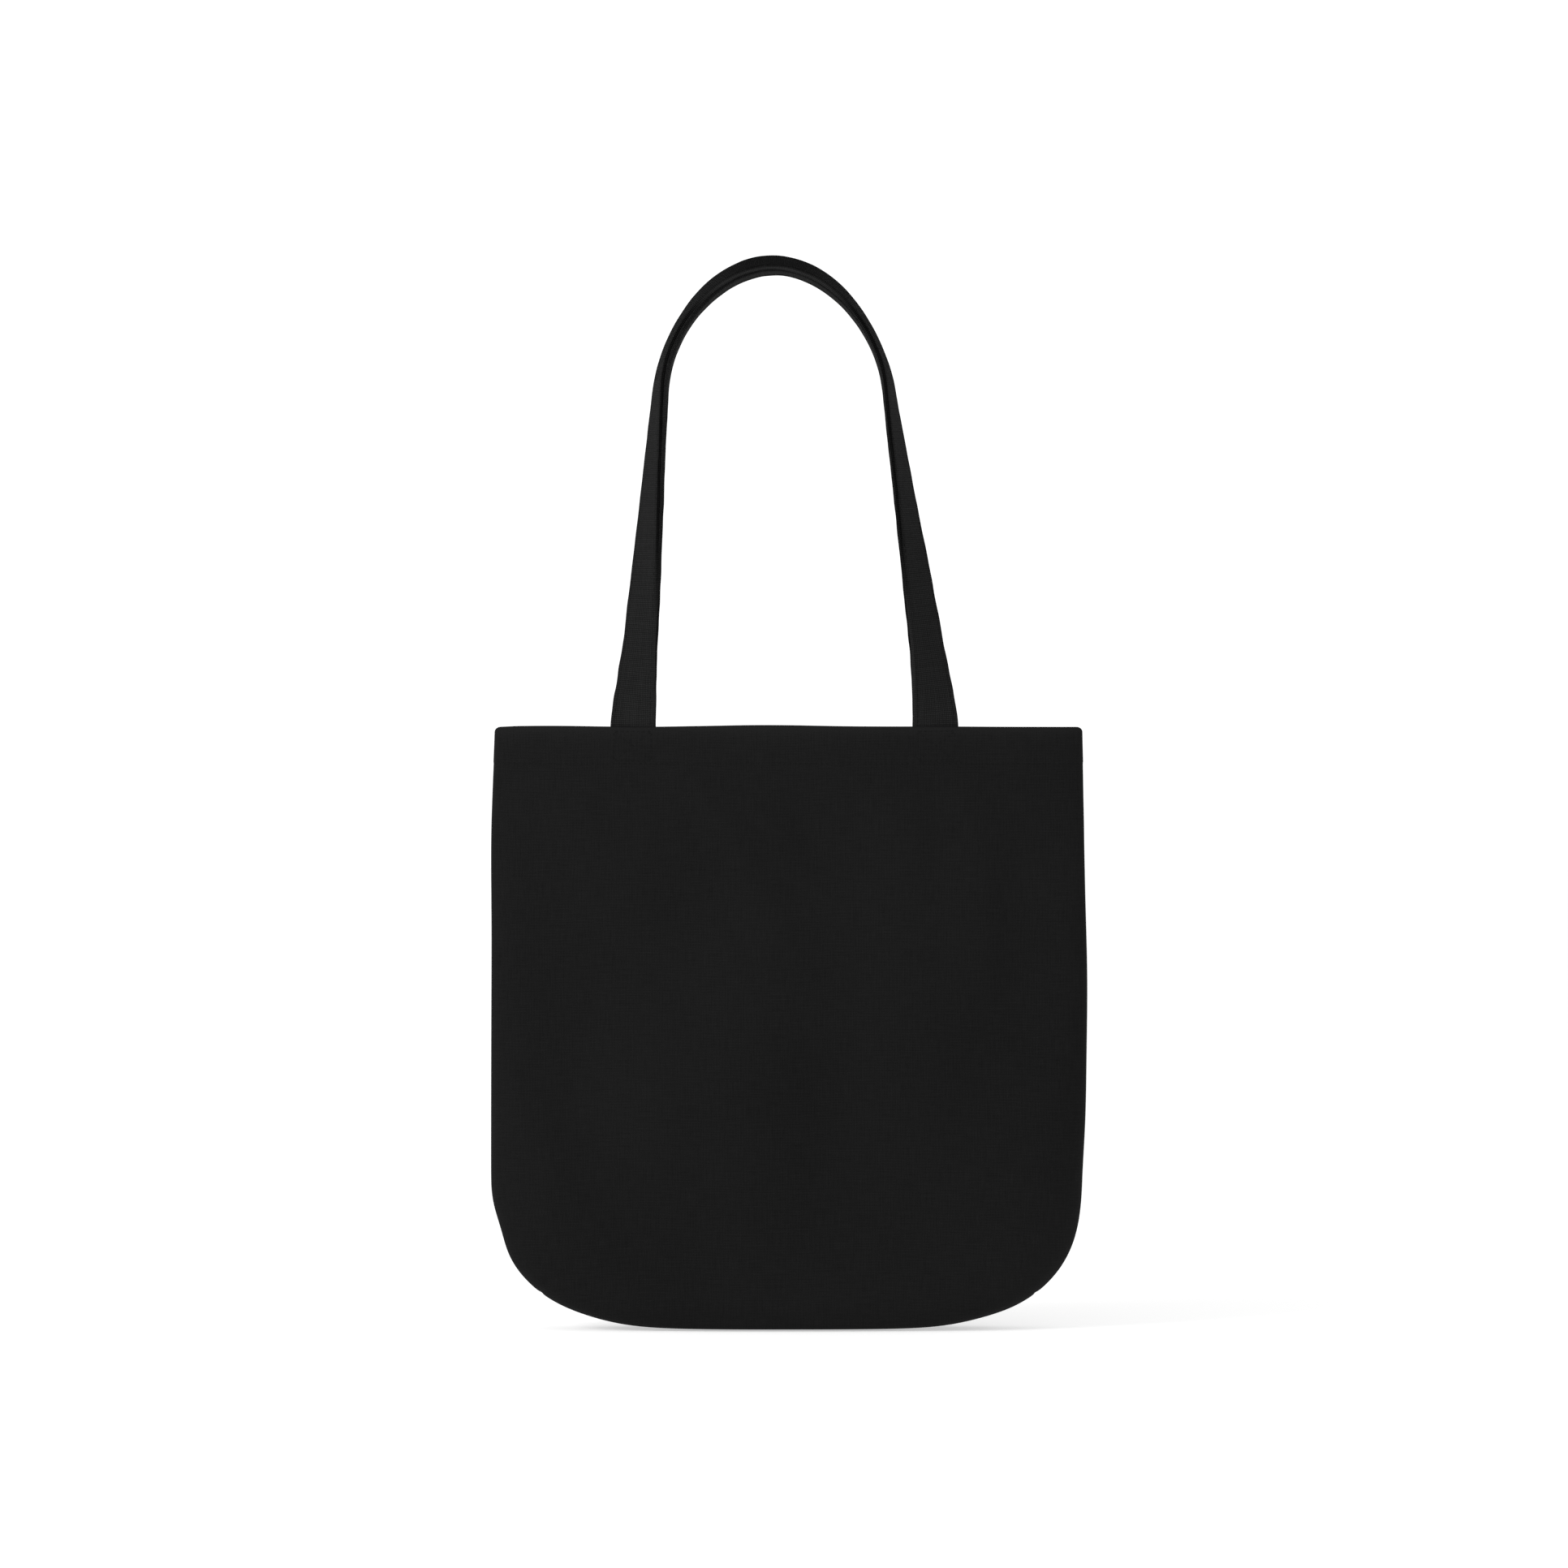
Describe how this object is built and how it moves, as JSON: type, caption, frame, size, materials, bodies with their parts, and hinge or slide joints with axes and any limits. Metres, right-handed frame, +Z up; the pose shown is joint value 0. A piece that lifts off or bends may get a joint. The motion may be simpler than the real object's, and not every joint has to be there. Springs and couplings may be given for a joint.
{
  "type": "canvas tote bag",
  "caption": "Open-topped canvas tote bag with a boxed base, a turned hem and two long straps sewn inside the hem, standing upright with its straps raised.",
  "frame": {"origin": "middle of the base, on the surface that the bag stands on", "axes": "+Z up from the base to the top of the straps, -Y out of the front panel, +X towards the right-hand side seam as seen from the front"},
  "size_m": [0.38, 0.08, 0.6826],
  "materials": {
    "canvas": "matte black plain-weave canvas",
    "strap_canvas": "matte black canvas, folded and topstitched",
    "seam_cloth": "matte black canvas edge, overlocked",
    "thread": "black sewing thread with a slight sheen"
  },
  "bodies": {
    "bag": {"front_panel": "canvas", "back_panel": "canvas", "left_side_seam": "seam_cloth", "right_side_seam": "seam_cloth", "bottom_seam": "seam_cloth", "left_corner_seam": "seam_cloth", "right_corner_seam": "seam_cloth", "front_strap_left_end": "strap_canvas", "front_strap_right_end": "strap_canvas", "back_strap_left_end": "strap_canvas", "back_strap_right_end": "strap_canvas", "front_hem_stitching": "thread", "back_hem_stitching": "thread", "front_left_boxed_cross": "thread", "front_right_boxed_cross": "thread", "back_left_boxed_cross": "thread", "back_right_boxed_cross": "thread"},
    "front_strap": {"front_strap": "strap_canvas", "front_strap_inner_topstitching": "thread", "front_strap_outer_topstitching": "thread"},
    "back_strap": {"back_strap": "strap_canvas", "back_strap_inner_topstitching": "thread", "back_strap_outer_topstitching": "thread"}
  },
  "joints": [
    {"name": "front_strap_fold", "type": "hinge", "parent": "bag", "child": "front_strap", "pos_m": [0, -0.0255, 0.384], "axis": [1, 0, 0], "range_deg": [0, 165]},
    {"name": "back_strap_fold", "type": "hinge", "parent": "bag", "child": "back_strap", "pos_m": [0, 0.0255, 0.384], "axis": [-1, 0, 0], "range_deg": [0, 165]}
  ]
}
